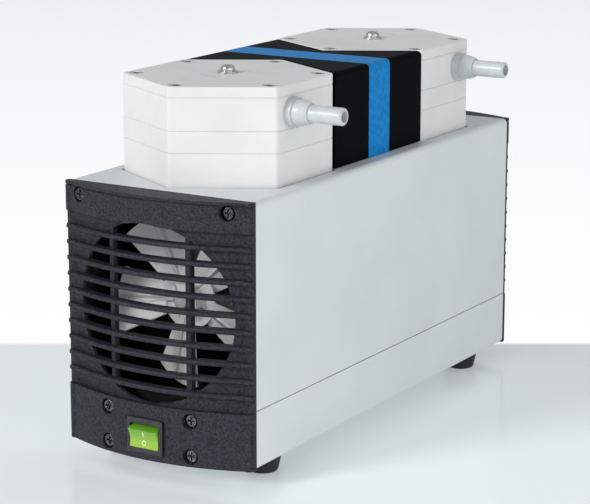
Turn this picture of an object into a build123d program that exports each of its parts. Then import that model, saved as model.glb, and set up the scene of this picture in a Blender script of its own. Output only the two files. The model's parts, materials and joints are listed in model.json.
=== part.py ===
"""Twin-head diaphragm vacuum pump with a mains motor in a sheet-metal housing.

One motor lies along Y in the middle of the housing and turns a crank and a fan at each end of its
shaft. Each crank lifts and lowers a connecting rod, which pumps the diaphragm of the plastic head
above it. The hose nozzles point to +X, the grille with the switch is at the -Y end.
Frame: origin on the ground under the middle of the housing, +Z up, +Y along the shaft. Millimetres.
"""

from build123d import *
import math
import os

os.makedirs("parts", exist_ok=True)

# ---- housing -------------------------------------------------------------------------------
housing_length = 306.5  # sheet-metal part, between the two end covers
housing_width = 124.8
housing_height = 151.1
sheet = 1.2  # steel sheet
sheet_bend = 3.0  # outside radius of its bends
seam_height = 33.6  # height of the tray's sides
seam_gap = 0.5
lip_rise = 9.0  # the tray's inner lip behind the upper cover
lip_root = 6.0
lip_gap = 0.15
shaft_lift = 0.55  # shaft above the middle of the slatted field

foot_height = 11.2
foot_top_radius = 11.0
foot_ground_radius = 8.5
foot_x = 47.0
foot_y = 122.5
foot_round = 2.0
foot_screw_radius = 2.0
foot_screw_head_radius = 4.0
foot_screw_recess = 5.0

# ---- end covers ----------------------------------------------------------------------------
cover_bulge = 17.25  # from the housing's end to the foremost point of the cover
cover_arc_radius = 148.0
cover_corner_width = 4.6  # rounded corner beside the arc, seen from above
cover_corner_bulge = 1.1
cover_rim = 2.2  # plain edge next to the housing
cover_wall = 2.6
cover_recess = 3.8  # the slatted field lies this far behind the bands
lower_band = 32.6
upper_band = 16.8
slat_count = 10
slat_thickness = 2.8
slat_nose = 1.1
opening_bite = 0.65  # how far the round opening cuts into the bands
rib_width = 3.0
rib_x = 25.5
rib_depth = 4.0
groove_width = 0.9  # shadow groove along the top edge
groove_depth = 0.8
groove_drop = 1.6

cover_screw_radius = 2.0
cover_screw_head_radius = 3.9
cover_screw_head = 2.6
screw_head_taper = 12  # degrees
cover_screw_sink = 1.5  # head below the band's surface
counterbore_clearance = 0.6
cover_screw_bite = 6.0  # thread past the sheet flange
cover_boss_wall = 1.6
upper_screw_x = 49.4
upper_screw_drop = 6.1  # below the top of the cover
lower_screw_x = 27.9
lower_screw_rows = (5.9, 26.3)  # above the bottom of the cover
cross_recess_width = 1.0
cross_recess_span = 4.6
cross_recess_depth = 1.5

flange_inset = 0.4  # sheet flanges stay this far from the tray's sides
flange_clearance = 1.0  # hole in the flange round the switch or inlet
tab_width = 18.0
tab_height = 15.0

# ---- heads ---------------------------------------------------------------------------------
head_spacing = 168.6
head_flats = 104.6  # across the flats of the hexagon
head_corner = 3.0
head_chamfer = 0.45
ring_visible = 18.9  # height of the clamp ring above the housing
head_plate_height = 12.4
port_plate_height = 18.7
lid_height = 6.3
cutout_gap = 1.5  # dark gap round each head in the housing
case_top_drop = 0.8  # crankcase flange below the sheet
head_screw_circle = 52.0
head_screw_radius = 2.5
head_screw_head_radius = 4.25
head_screw_head = 5.0
head_screw_sink = 0.3
head_screw_clearance = 0.25
head_screw_bite = 11.0
socket_flats = 4.0
socket_depth = 2.6
centre_screw_radius = 2.0
centre_screw_dome_radius = 4.2
centre_screw_dome = 3.6
centre_screw_round = 2.5
centre_screw_bite = 10.0
centre_washer_radius = 5.9
centre_washer = 1.1

# ---- pumping parts -------------------------------------------------------------------------
eccentricity = 2.5  # half the stroke
diaphragm = 2.5  # thickness
diaphragm_radius = 44.0
diaphragm_working_radius = 34.0
diaphragm_seat_clearance = 0.2
disc_radius = 27.0
disc_thickness = 3.0
disc_stud_radius = 4.0
disc_stud_grip = 9.0
disc_hole_clearance = 0.3
top_clearance = 0.6  # disc to chamber roof at top dead centre
swing_clearance = 1.5
rod_head = 4.0
rod_neck_width = 18.0
rod_width = 12.0
rod_wall = 6.0
rod_bearing_radius = 21.0
rod_bearing_width = 9.0
journal_radius = 12.5
journal_shoulder = 2.5
counterweight_radius = 29.0
counterweight = 7.0
valve_x = 14.0
valve_y = 15.7  # from the head's centre, the nozzle's axis
transfer_valve_y = 10.0
valve_port_radius = 3.5
valve_radius = 8.5
valve_thickness = 1.0
valve_gap = 0.3
valve_chamber_radius = 9.0
valve_chamber_height = 13.0

# ---- hose nozzles and the tube between the heads ---------------------------------------------
nozzle_reach = 34.0  # tip beyond the head's side
nozzle_radius = 5.0  # push-on end for the hose
nozzle_root_radius = 5.3  # where it sits in the head and the nut
nozzle_bore_radius = 3.2
nozzle_tip_round = 1.2
nozzle_socket = 12.0  # length inside the head
nut_collar_radius = 8.7
nut_collar = 4.0
nut_dome_radius = 7.6
nut_dome = 9.0
nut_dome_shoulder = 0.75  # share of the dome's length before it turns in
nut_lip_radius = 5.9
tube_radius = 5.0
tube_bore_radius = 3.4
tube_socket = 8.0
tube_clearance = 0.3  # where it passes the bridge
slide_fit = 0.05

# ---- bridge between the heads ----------------------------------------------------------------
bridge_gap = 1.6
bridge_wall = 2.5
bridge_round = 3.0
bridge_lift = 0.3
stripe_width = 25.0
stripe_thickness = 0.8

# ---- crankcases, motor and shaft -------------------------------------------------------------
case_width = 92.0
case_depth = 46.0
case_wall = 6.0
case_flange = 11.0
case_window_radius = 33.0
case_screw_x = 38.0
case_screw_y = 16.5
case_screw_radius = 2.5
case_screw_head_radius = 4.5
case_screw_head = 3.0
boss_radius = 24.0
boss_reach = 8.0
bearing_radius = 17.5
bearing_width = 11.0
bearing_race = 3.2
bearing_seal_sink = 0.6
shaft_radius = 7.5
shaft_end_radius = 5.0
shaft_clearance = 1.5
motor_clearance = 1.1  # fins to the crankcase flanges above them
motor_tube_wall = 3.7
motor_fin = 3.0
motor_fin_width = 2.0
motor_fin_count = 36
stator_length = 70.0
stator_bore_radius = 27.0
stator_slot_count = 24
stator_slot_width = 3.4
stator_slot_inner_radius = 29.0
stator_back = 6.3  # steel left behind the slots
air_gap = 0.4
winding_length = 15.0
winding_clearance = 4.8  # to the motor tube
winding_round = 4.0
tie_rod_radius = 2.5
tie_rod_offset = 42.0

# ---- fans ------------------------------------------------------------------------------------
fan_tip_gap = 0.5  # blade tips inside the edge of the opening
fan_blade_count = 5
fan_blade_angle = 45.0  # one blade's direction from +X, seen from outside
fan_blade_root = 15.0
fan_blade_root_width = 18.0
fan_blade_tip_width = 40.0
fan_blade_pitch = 24.0
fan_sheet = 1.4
fan_hub_radius = 10.0
fan_plate_radius = 18.0
fan_plane = 126.0  # middle of the blades, from the centre of the pump
fan_hub_end = 134.0
fan_hub_start = 117.5
shaft_end_proud = 1.2

# ---- switch and mains inlet --------------------------------------------------------------------
fitting_height = 14.3  # centre of switch and inlet above the bottom of the cover
switch_width = 23.8
switch_height = 20.6
switch_proud = 1.8
bezel_corner = 1.2
bezel_chamfer = 0.5
switch_body_width = 21.4
switch_body_height = 18.2
switch_body_depth = 20.0
rocker_width = 18.9
rocker_gap = 0.25
rocker_depth_in_bezel = 6.5  # pivot behind the bezel's face
rocker_tilt = 10.0
rocker_out = 8.0
rocker_tip_half_height = 5.5
rocker_root_half_height = 6.2
rocker_hollow = 1.3
rocker_back = 3.0
rocker_pin_radius = 1.2
rocker_pin = 1.4
rocker_window_half_height = 6.95
rocker_room = 12.0
inlet_width = 30.0
inlet_height = 23.0
inlet_corner = 2.0
inlet_body_width = 27.4
inlet_body_height = 20.0
inlet_depth = 22.0
inlet_socket_width = 24.5
inlet_socket_height = 16.7
inlet_socket_depth = 16.0
inlet_socket_chamfer = 4.0
inlet_pin = (2.0, 4.0)
inlet_pin_length = 11.0
inlet_pin_pitch = 7.0
inlet_pin_rise = 2.0
fitting_gap = 0.2
capacitor_radius = 14.0
capacitor_length = 72.0
capacitor_round = 1.5
capacitor_x = 40.0
terminal_size = (22.0, 46.0, 14.0)
terminal_x = 36.0
terminal_ways = 4
terminal_screw_radius = 2.0
terminal_screw_sink = 3.0
cable_radius = 2.5
cable_x = 57.5
cable_bend = 11.0
cable_turn_y = 129.0
cable_exit_x = 6.0

# ---- worked out from the above -------------------------------------------------------------
bottom = foot_height
top = bottom + housing_height
field_low = bottom + lower_band
field_high = top - upper_band
half_length = housing_length / 2
half_width = housing_width / 2
axis_z = (field_low + field_high) / 2 + shaft_lift
opening_radius = (field_high - field_low) / 2 + opening_bite
fan_radius = opening_radius - fan_tip_gap
tray_top = bottom + sheet
head_y = head_spacing / 2
case_inner = head_y - case_depth / 2
case_top = top - sheet - case_top_drop
case_flange_bottom = case_top - case_flange
motor_radius = case_flange_bottom - axis_z - motor_fin - motor_clearance
motor_bore = motor_radius - motor_tube_wall
stator_slot_depth = motor_bore - stator_slot_inner_radius - stator_back
winding_radius = motor_bore - winding_clearance
ring_top = top + ring_visible
head_plate_top = ring_top + head_plate_height
port_plate_top = head_plate_top + port_plate_height
head_top = port_plate_top + lid_height
port_z = head_plate_top + port_plate_height / 2
nozzle_y = head_y + valve_y
diaphragm_z = ring_top - diaphragm / 2
rod_top_above_pin = diaphragm_z - diaphragm / 2 - axis_z
fitting_z = bottom + fitting_height
cover_face = half_length + cover_bulge
slat_pitch = (field_high - field_low) / (slat_count + 1)
shaft_half = fan_hub_end + shaft_end_proud
journal_start = head_y - rod_bearing_width / 2
counterweight_start = journal_start - rod_width / 2 - journal_shoulder * 2
hexagon_corners = 6
hexagon_turn = 30  # degrees, which points a corner along the pump
hexagon_slope = math.radians(hexagon_turn)
hexagon_radius = head_flats / 2 / math.cos(hexagon_slope)
ends = (("front", -1), ("rear", 1))


def end_plane(side, reach):
    """Upright plane at one end: local x to the right, local y up, normal pointing outwards."""
    return Plane(origin=(0, side * reach, 0), x_dir=(-side, 0, 0), z_dir=(0, side, 0))


def deck_plane(side, height):
    """Level plane whose local -y points out of the given end."""
    return Plane(origin=(0, 0, height), x_dir=(-side, 0, 0), z_dir=(0, 0, 1))


def head_corners(radius):
    """Places on a circle in line with the six corners of a head."""
    return PolarLocations(radius, hexagon_corners, start_angle=hexagon_turn)


def head_outline(growth=0, corner=0):
    """Hexagon of a head around the current place, grown all round and with rounded corners."""
    outline = RegularPolygon(
        head_flats / 2 + growth, hexagon_corners, major_radius=False, rotation=hexagon_turn
    )
    if corner > 0:
        fillet(outline.vertices(), corner)


def arc_reach(x):
    """How far out an end cover's front face lies at x from its middle."""
    drop = cover_arc_radius - math.sqrt(cover_arc_radius**2 - x**2)
    return cover_face - drop


def cover_plan(inset, back):
    """Plan of an end cover moved in by inset, with its open back at the given distance."""
    arc_x = half_width - cover_corner_width
    corner_x = half_width - cover_corner_width / 2 + cover_corner_bulge
    corner_reach = (half_length + cover_rim + arc_reach(arc_x)) / 2 + cover_corner_bulge
    with BuildSketch() as plan:
        with BuildLine():
            Polyline(
                (-half_width, -half_length - cover_rim),
                (-half_width, -back + inset),
                (half_width, -back + inset),
                (half_width, -half_length - cover_rim),
            )
            ThreePointArc(
                (half_width, -half_length - cover_rim),
                (corner_x, -corner_reach),
                (arc_x, -arc_reach(arc_x)),
            )
            ThreePointArc(
                (arc_x, -arc_reach(arc_x)), (0, -cover_face), (-arc_x, -arc_reach(arc_x))
            )
            ThreePointArc(
                (-arc_x, -arc_reach(arc_x)),
                (-corner_x, -corner_reach),
                (-half_width, -half_length - cover_rim),
            )
        make_face()
        if inset > 0:
            offset(amount=-inset)
    return plan.sketch


# ---- base tray -------------------------------------------------------------------------------
inner_half = half_width - sheet
flange_width = 2 * (inner_half - flange_inset - lip_gap - sheet)
with BuildPart() as base_tray:
    with BuildSketch(Plane.XZ):
        with Locations((0, bottom + seam_height / 2)):
            tray_outline = Rectangle(housing_width, seam_height)
        fillet(tray_outline.vertices().group_by(Axis.Y)[0], sheet_bend)
        with Locations((0, tray_top + seam_height / 2)):
            Rectangle(2 * inner_half, seam_height, mode=Mode.SUBTRACT)
        for x in (-inner_half, inner_half):
            inward = -math.copysign(1, x)
            with Locations((x + inward * (sheet + lip_gap) / 2, bottom + seam_height - lip_root)):
                Rectangle(sheet + lip_gap, lip_root)
            with Locations((x + inward * (sheet / 2 + lip_gap), bottom + seam_height)):
                Rectangle(sheet, 2 * lip_rise)
    extrude(amount=half_length, both=True)
    for end, side in ends:
        with BuildSketch(end_plane(side, half_length - sheet)):
            with Locations((0, tray_top + seam_height / 2)):
                Rectangle(flange_width, seam_height)
            with Locations((0, fitting_z)):
                Rectangle(
                    inlet_body_width + flange_clearance,
                    inlet_body_height + flange_clearance,
                    mode=Mode.SUBTRACT,
                )
            for row in lower_screw_rows:
                with Locations((-lower_screw_x, bottom + row), (lower_screw_x, bottom + row)):
                    Circle(cover_screw_radius, mode=Mode.SUBTRACT)
        extrude(amount=sheet)
    with BuildSketch(Plane.XY.offset(bottom)):
        with GridLocations(2 * foot_x, 2 * foot_y, 2, 2):
            Circle(foot_screw_radius)
        with Locations((0, -head_y), (0, head_y)):
            with GridLocations(2 * case_screw_x, 2 * case_screw_y, 2, 2):
                Circle(case_screw_radius)
    extrude(amount=sheet, mode=Mode.SUBTRACT)
base_tray.part.label = "base_tray"
export_step(base_tray.part, "parts/base_tray.step")

# ---- upper housing cover ---------------------------------------------------------------------
cover_bottom = bottom + seam_height + seam_gap
with BuildPart() as housing_cover:
    with BuildSketch(Plane.XZ):
        with Locations((0, (cover_bottom + top) / 2)):
            hood_outline = Rectangle(housing_width, top - cover_bottom)
        fillet(hood_outline.vertices().group_by(Axis.Y)[-1], sheet_bend)
        with Locations((0, (cover_bottom + top) / 2 - sheet)):
            Rectangle(2 * inner_half, top - cover_bottom, mode=Mode.SUBTRACT)
    extrude(amount=half_length, both=True)
    with BuildSketch(Plane.XY.offset(top - sheet)):
        with Locations((0, -head_y), (0, head_y)):
            head_outline(growth=cutout_gap)
    extrude(amount=sheet, mode=Mode.SUBTRACT)
    for end, side in ends:
        with BuildSketch(end_plane(side, half_length - sheet)):
            for x in (-upper_screw_x, upper_screw_x):
                with Locations((x, top - sheet - tab_height / 2)):
                    Rectangle(tab_width, tab_height)
                with Locations((x, top - upper_screw_drop)):
                    Circle(cover_screw_radius, mode=Mode.SUBTRACT)
        extrude(amount=sheet)
housing_cover.part.label = "housing_cover"
export_step(housing_cover.part, "parts/housing_cover.step")

# ---- end covers ------------------------------------------------------------------------------
full_plan = cover_plan(0, half_length)
field_plan = cover_plan(cover_recess, half_length)
band_room = cover_plan(cover_wall, half_length - cover_wall)
field_room = cover_plan(cover_recess + cover_wall, half_length - cover_wall)
rib_room = cover_plan(cover_recess + rib_depth, half_length - cover_wall)
groove_plan = cover_plan(groove_depth, half_length)
screw_spots = [(x, top - upper_screw_drop) for x in (-upper_screw_x, upper_screw_x)]
screw_spots += [
    (x, bottom + row) for x in (-lower_screw_x, lower_screw_x) for row in lower_screw_rows
]

with BuildPart() as slat:
    with BuildSketch():
        add(full_plan)
        add(field_room, mode=Mode.SUBTRACT)
        with Locations((0, -half_length + cover_rim / 2)):
            Rectangle(housing_width, 3 * cover_rim, mode=Mode.SUBTRACT)
    extrude(amount=slat_thickness)
    fillet(slat.edges().filter_by(GeomType.CIRCLE), slat_nose)

rib_span = math.sqrt(opening_radius**2 - rib_x**2) + rib_width
for end, side in ends:
    fitting_width = switch_body_width if end == "front" else inlet_body_width
    fitting_tall = switch_body_height if end == "front" else inlet_body_height
    with BuildPart() as end_cover:
        for plan, low, high in (
            (full_plan, bottom, field_low),
            (field_plan, field_low, field_high),
            (full_plan, field_high, top),
        ):
            with BuildSketch(deck_plane(side, low)):
                add(plan)
            extrude(amount=high - low)
        with BuildSketch(deck_plane(side, field_low)):
            with Locations((0, -half_length - cover_rim / 2)):
                Rectangle(housing_width, cover_rim)
        extrude(amount=field_high - field_low)
        for room, low, high in (
            (band_room, bottom + cover_wall, field_low - cover_wall),
            (field_room, field_low - cover_wall, field_high + cover_wall),
            (band_room, field_high + cover_wall, top - cover_wall),
        ):
            with BuildSketch(deck_plane(side, low)):
                add(room)
            extrude(amount=high - low, mode=Mode.SUBTRACT)
        with BuildSketch(end_plane(side, half_length)):
            with Locations((0, axis_z)):
                Circle(opening_radius)
        extrude(amount=cover_bulge, mode=Mode.SUBTRACT)
        with BuildSketch(deck_plane(side, axis_z - rib_span)):
            add(field_plan)
            add(rib_room, mode=Mode.SUBTRACT)
            with Locations((-rib_x, -half_length), (rib_x, -half_length)):
                Rectangle(rib_width, 4 * cover_bulge, mode=Mode.INTERSECT)
        extrude(amount=2 * rib_span)
        with BuildSketch(deck_plane(side, top - groove_drop - groove_width)):
            add(full_plan)
            add(groove_plan, mode=Mode.SUBTRACT)
            with Locations((0, -half_length)):
                Rectangle(housing_width, 2 * cover_rim, mode=Mode.SUBTRACT)
        extrude(amount=groove_width, mode=Mode.SUBTRACT)
        for number in range(1, slat_count + 1):
            slat_low = field_low + number * slat_pitch - slat_thickness / 2
            add(slat.part.moved(deck_plane(side, slat_low).location))
        for x, z in screw_spots:
            head_reach = arc_reach(x) - cover_screw_sink - cover_screw_head
            with BuildSketch(end_plane(side, half_length)):
                with Locations((x, z)):
                    Circle(cover_screw_head_radius + cover_boss_wall)
            extrude(amount=head_reach - half_length)
        with BuildSketch(deck_plane(side, bottom)):
            with Locations((0, -half_length)):
                Rectangle(2 * housing_width, 4 * cover_bulge)
            add(full_plan, mode=Mode.SUBTRACT)
        extrude(amount=housing_height, mode=Mode.SUBTRACT)
        for x, z in screw_spots:
            head_reach = arc_reach(x) - cover_screw_sink - cover_screw_head
            with BuildSketch(end_plane(side, head_reach)):
                with Locations((x, z)):
                    Circle(cover_screw_head_radius + counterbore_clearance)
            extrude(amount=cover_bulge, mode=Mode.SUBTRACT)
            with BuildSketch(end_plane(side, half_length)):
                with Locations((x, z)):
                    Circle(cover_screw_radius)
            extrude(amount=cover_bulge, mode=Mode.SUBTRACT)
        with BuildSketch(end_plane(side, half_length)):
            with Locations((0, fitting_z)):
                Rectangle(fitting_width + fitting_gap, fitting_tall + fitting_gap)
        extrude(amount=2 * cover_bulge, mode=Mode.SUBTRACT)
    end_cover.part.label = f"{end}_cover"
    export_step(end_cover.part, f"parts/{end}_cover.step")

with BuildPart() as cover_screws:
    for end, side in ends:
        for x, z in screw_spots:
            head_reach = arc_reach(x) - cover_screw_sink - cover_screw_head
            shank_end = half_length - sheet - cover_screw_bite
            with BuildSketch(end_plane(side, shank_end)):
                with Locations((x, z)):
                    Circle(cover_screw_radius)
            extrude(amount=head_reach - shank_end)
            with BuildSketch(end_plane(side, head_reach)):
                with Locations((x, z)):
                    Circle(cover_screw_head_radius)
            extrude(amount=cover_screw_head, taper=screw_head_taper)
            with BuildSketch(end_plane(side, head_reach + cover_screw_head)):
                with Locations((x, z)):
                    Rectangle(cross_recess_span, cross_recess_width)
                    Rectangle(cross_recess_width, cross_recess_span)
            extrude(amount=-cross_recess_depth, mode=Mode.SUBTRACT)
cover_screws.part.label = "cover_screws"
export_step(cover_screws.part, "parts/cover_screws.step")

# ---- feet ------------------------------------------------------------------------------------
for end, side in ends:
    for hand, x in (("left", -foot_x), ("right", foot_x)):
        with BuildPart() as foot:
            with BuildSketch(Plane.XY):
                with Locations((x, side * foot_y)):
                    Circle(foot_ground_radius)
            with BuildSketch(Plane.XY.offset(foot_height)):
                with Locations((x, side * foot_y)):
                    Circle(foot_top_radius)
            loft()
            fillet(foot.edges().group_by(Axis.Z)[0], foot_round)
            with BuildSketch(Plane.XY):
                with Locations((x, side * foot_y)):
                    Circle(foot_screw_head_radius + counterbore_clearance)
            extrude(amount=foot_screw_recess, mode=Mode.SUBTRACT)
            with BuildSketch(Plane.XY):
                with Locations((x, side * foot_y)):
                    Circle(foot_screw_radius)
            extrude(amount=foot_height, mode=Mode.SUBTRACT)
        foot.part.label = f"foot_{end}_{hand}"
        export_step(foot.part, f"parts/foot_{end}_{hand}.step")

with BuildPart() as foot_screws:
    with BuildSketch(Plane.XY.offset(foot_screw_recess)):
        with GridLocations(2 * foot_x, 2 * foot_y, 2, 2):
            Circle(foot_screw_head_radius)
    extrude(amount=-cover_screw_head)
    with BuildSketch(Plane.XY.offset(foot_screw_recess)):
        with GridLocations(2 * foot_x, 2 * foot_y, 2, 2):
            Circle(foot_screw_radius)
    extrude(amount=foot_height + sheet - foot_screw_recess)
foot_screws.part.label = "foot_screws"
export_step(foot_screws.part, "parts/foot_screws.step")

# ---- crankcases ------------------------------------------------------------------------------
for end, side in ends:
    with BuildPart() as crankcase:
        with BuildSketch(end_plane(side, case_inner)):
            with Locations((0, (tray_top + case_flange_bottom) / 2)):
                Rectangle(case_width, case_flange_bottom - tray_top)
        extrude(amount=case_depth)
        fillet(crankcase.edges().filter_by(Axis.Z), case_wall / 2)
        with BuildSketch(deck_plane(side, case_flange_bottom)):
            with Locations((0, -head_y)):
                head_outline(corner=head_corner)
        extrude(amount=case_flange)
        with BuildSketch(end_plane(side, case_inner - boss_reach)):
            with Locations((0, axis_z)):
                Circle(boss_radius)
        extrude(amount=boss_reach + case_wall)
        with BuildSketch(deck_plane(side, tray_top + case_wall)):
            with Locations((0, -head_y)):
                Rectangle(case_width - 2 * case_wall, case_depth - 2 * case_wall)
        extrude(amount=case_flange_bottom - tray_top - case_wall, mode=Mode.SUBTRACT)
        with BuildSketch(deck_plane(side, case_flange_bottom)):
            with Locations((0, -head_y)):
                Circle(diaphragm_working_radius)
                with head_corners(head_screw_circle):
                    Circle(head_screw_radius)
        extrude(amount=case_flange, mode=Mode.SUBTRACT)
        with BuildSketch(end_plane(side, head_y)):
            with Locations((0, axis_z)):
                Circle(case_window_radius)
        extrude(amount=case_depth, mode=Mode.SUBTRACT)
        with BuildSketch(end_plane(side, case_inner + case_wall)):
            with Locations((0, axis_z)):
                Circle(bearing_radius)
        extrude(amount=-bearing_width, mode=Mode.SUBTRACT)
        with BuildSketch(end_plane(side, case_inner + case_wall)):
            with Locations((0, axis_z)):
                Circle(shaft_radius + shaft_clearance)
                with GridLocations(2 * tie_rod_offset, 2 * tie_rod_offset, 2, 2):
                    Circle(tie_rod_radius)
        extrude(amount=-case_wall - boss_reach, mode=Mode.SUBTRACT)
        with BuildSketch(deck_plane(side, tray_top)):
            with Locations((0, -head_y)):
                with GridLocations(2 * case_screw_x, 2 * case_screw_y, 2, 2):
                    Circle(case_screw_radius)
        extrude(amount=case_wall, mode=Mode.SUBTRACT)
    crankcase.part.label = f"{end}_crankcase"
    export_step(crankcase.part, f"parts/{end}_crankcase.step")

with BuildPart() as crankcase_screws:
    with BuildSketch(Plane.XY.offset(bottom)):
        with Locations((0, -head_y), (0, head_y)):
            with GridLocations(2 * case_screw_x, 2 * case_screw_y, 2, 2):
                Circle(case_screw_head_radius)
    extrude(amount=-case_screw_head)
    with BuildSketch(Plane.XY.offset(bottom)):
        with Locations((0, -head_y), (0, head_y)):
            with GridLocations(2 * case_screw_x, 2 * case_screw_y, 2, 2):
                Circle(case_screw_radius)
    extrude(amount=sheet + case_wall)
crankcase_screws.part.label = "crankcase_screws"
export_step(crankcase_screws.part, "parts/crankcase_screws.step")

# ---- motor -----------------------------------------------------------------------------------
with BuildPart() as motor_housing:
    with BuildSketch(Plane.XZ):
        with Locations((0, axis_z)):
            Circle(motor_radius)
            with PolarLocations(motor_radius, motor_fin_count):
                Rectangle(2 * motor_fin, motor_fin_width)
            Circle(motor_bore, mode=Mode.SUBTRACT)
    extrude(amount=case_inner, both=True)
motor_housing.part.label = "motor_housing"
export_step(motor_housing.part, "parts/motor_housing.step")

with BuildPart() as stator_core:
    with BuildSketch(Plane.XZ):
        with Locations((0, axis_z)):
            Circle(motor_bore)
            Circle(stator_bore_radius, mode=Mode.SUBTRACT)
            slot_middle = stator_slot_inner_radius + stator_slot_depth / 2
            with PolarLocations(slot_middle, stator_slot_count):
                Rectangle(stator_slot_depth, stator_slot_width, mode=Mode.SUBTRACT)
    extrude(amount=stator_length / 2, both=True)
stator_core.part.label = "stator_core"
export_step(stator_core.part, "parts/stator_core.step")

with BuildPart() as stator_windings:
    for end, side in ends:
        with BuildSketch(end_plane(side, stator_length / 2)):
            with Locations((0, axis_z)):
                Circle(winding_radius)
                Circle(stator_slot_inner_radius, mode=Mode.SUBTRACT)
        extrude(amount=winding_length)
        coil_edges = stator_windings.edges().filter_by(GeomType.CIRCLE)
        outermost = coil_edges.group_by(Axis.Y)[0 if side < 0 else -1]
        fillet(outermost, winding_round)
stator_windings.part.label = "stator_windings"
export_step(stator_windings.part, "parts/stator_windings.step")

with BuildPart() as tie_rods:
    with BuildSketch(Plane.XZ):
        with Locations((0, axis_z)):
            with GridLocations(2 * tie_rod_offset, 2 * tie_rod_offset, 2, 2):
                Circle(tie_rod_radius)
    extrude(amount=case_inner + case_wall, both=True)
tie_rods.part.label = "tie_rods"
export_step(tie_rods.part, "parts/tie_rods.step")

for end, side in ends:
    with BuildPart() as motor_bearing:
        with BuildSketch(end_plane(side, case_inner + case_wall - bearing_width)):
            with Locations((0, axis_z)):
                Circle(bearing_radius)
                Circle(shaft_radius + slide_fit, mode=Mode.SUBTRACT)
        extrude(amount=bearing_width)
        for face, depth in ((0, -bearing_seal_sink), (bearing_width, bearing_seal_sink)):
            with BuildSketch(end_plane(side, case_inner + case_wall - bearing_width + face)):
                with Locations((0, axis_z)):
                    Circle(bearing_radius - bearing_race)
                    Circle(shaft_radius + bearing_race, mode=Mode.SUBTRACT)
            extrude(amount=-depth, mode=Mode.SUBTRACT)
    motor_bearing.part.label = f"{end}_motor_bearing"
    export_step(motor_bearing.part, f"parts/{end}_motor_bearing.step")

with BuildPart() as rotor_core:
    with BuildSketch(Plane.XZ):
        with Locations((0, axis_z)):
            Circle(stator_bore_radius - air_gap)
            Circle(shaft_radius, mode=Mode.SUBTRACT)
    extrude(amount=stator_length / 2, both=True)
rotor_core.part.label = "rotor_core"
export_step(rotor_core.part, "parts/rotor_core.step")

with BuildPart() as motor_shaft:
    with BuildSketch(Plane.XZ):
        with Locations((0, axis_z)):
            Circle(shaft_end_radius)
    extrude(amount=shaft_half, both=True)
    with BuildSketch(Plane.XZ):
        with Locations((0, axis_z)):
            Circle(shaft_radius)
    extrude(amount=fan_hub_start, both=True)
    chamfer(motor_shaft.edges().group_by(Axis.Y)[0], shaft_end_proud / 2)
    chamfer(motor_shaft.edges().group_by(Axis.Y)[-1], shaft_end_proud / 2)
motor_shaft.part.label = "motor_shaft"
export_step(motor_shaft.part, "parts/motor_shaft.step")

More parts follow.
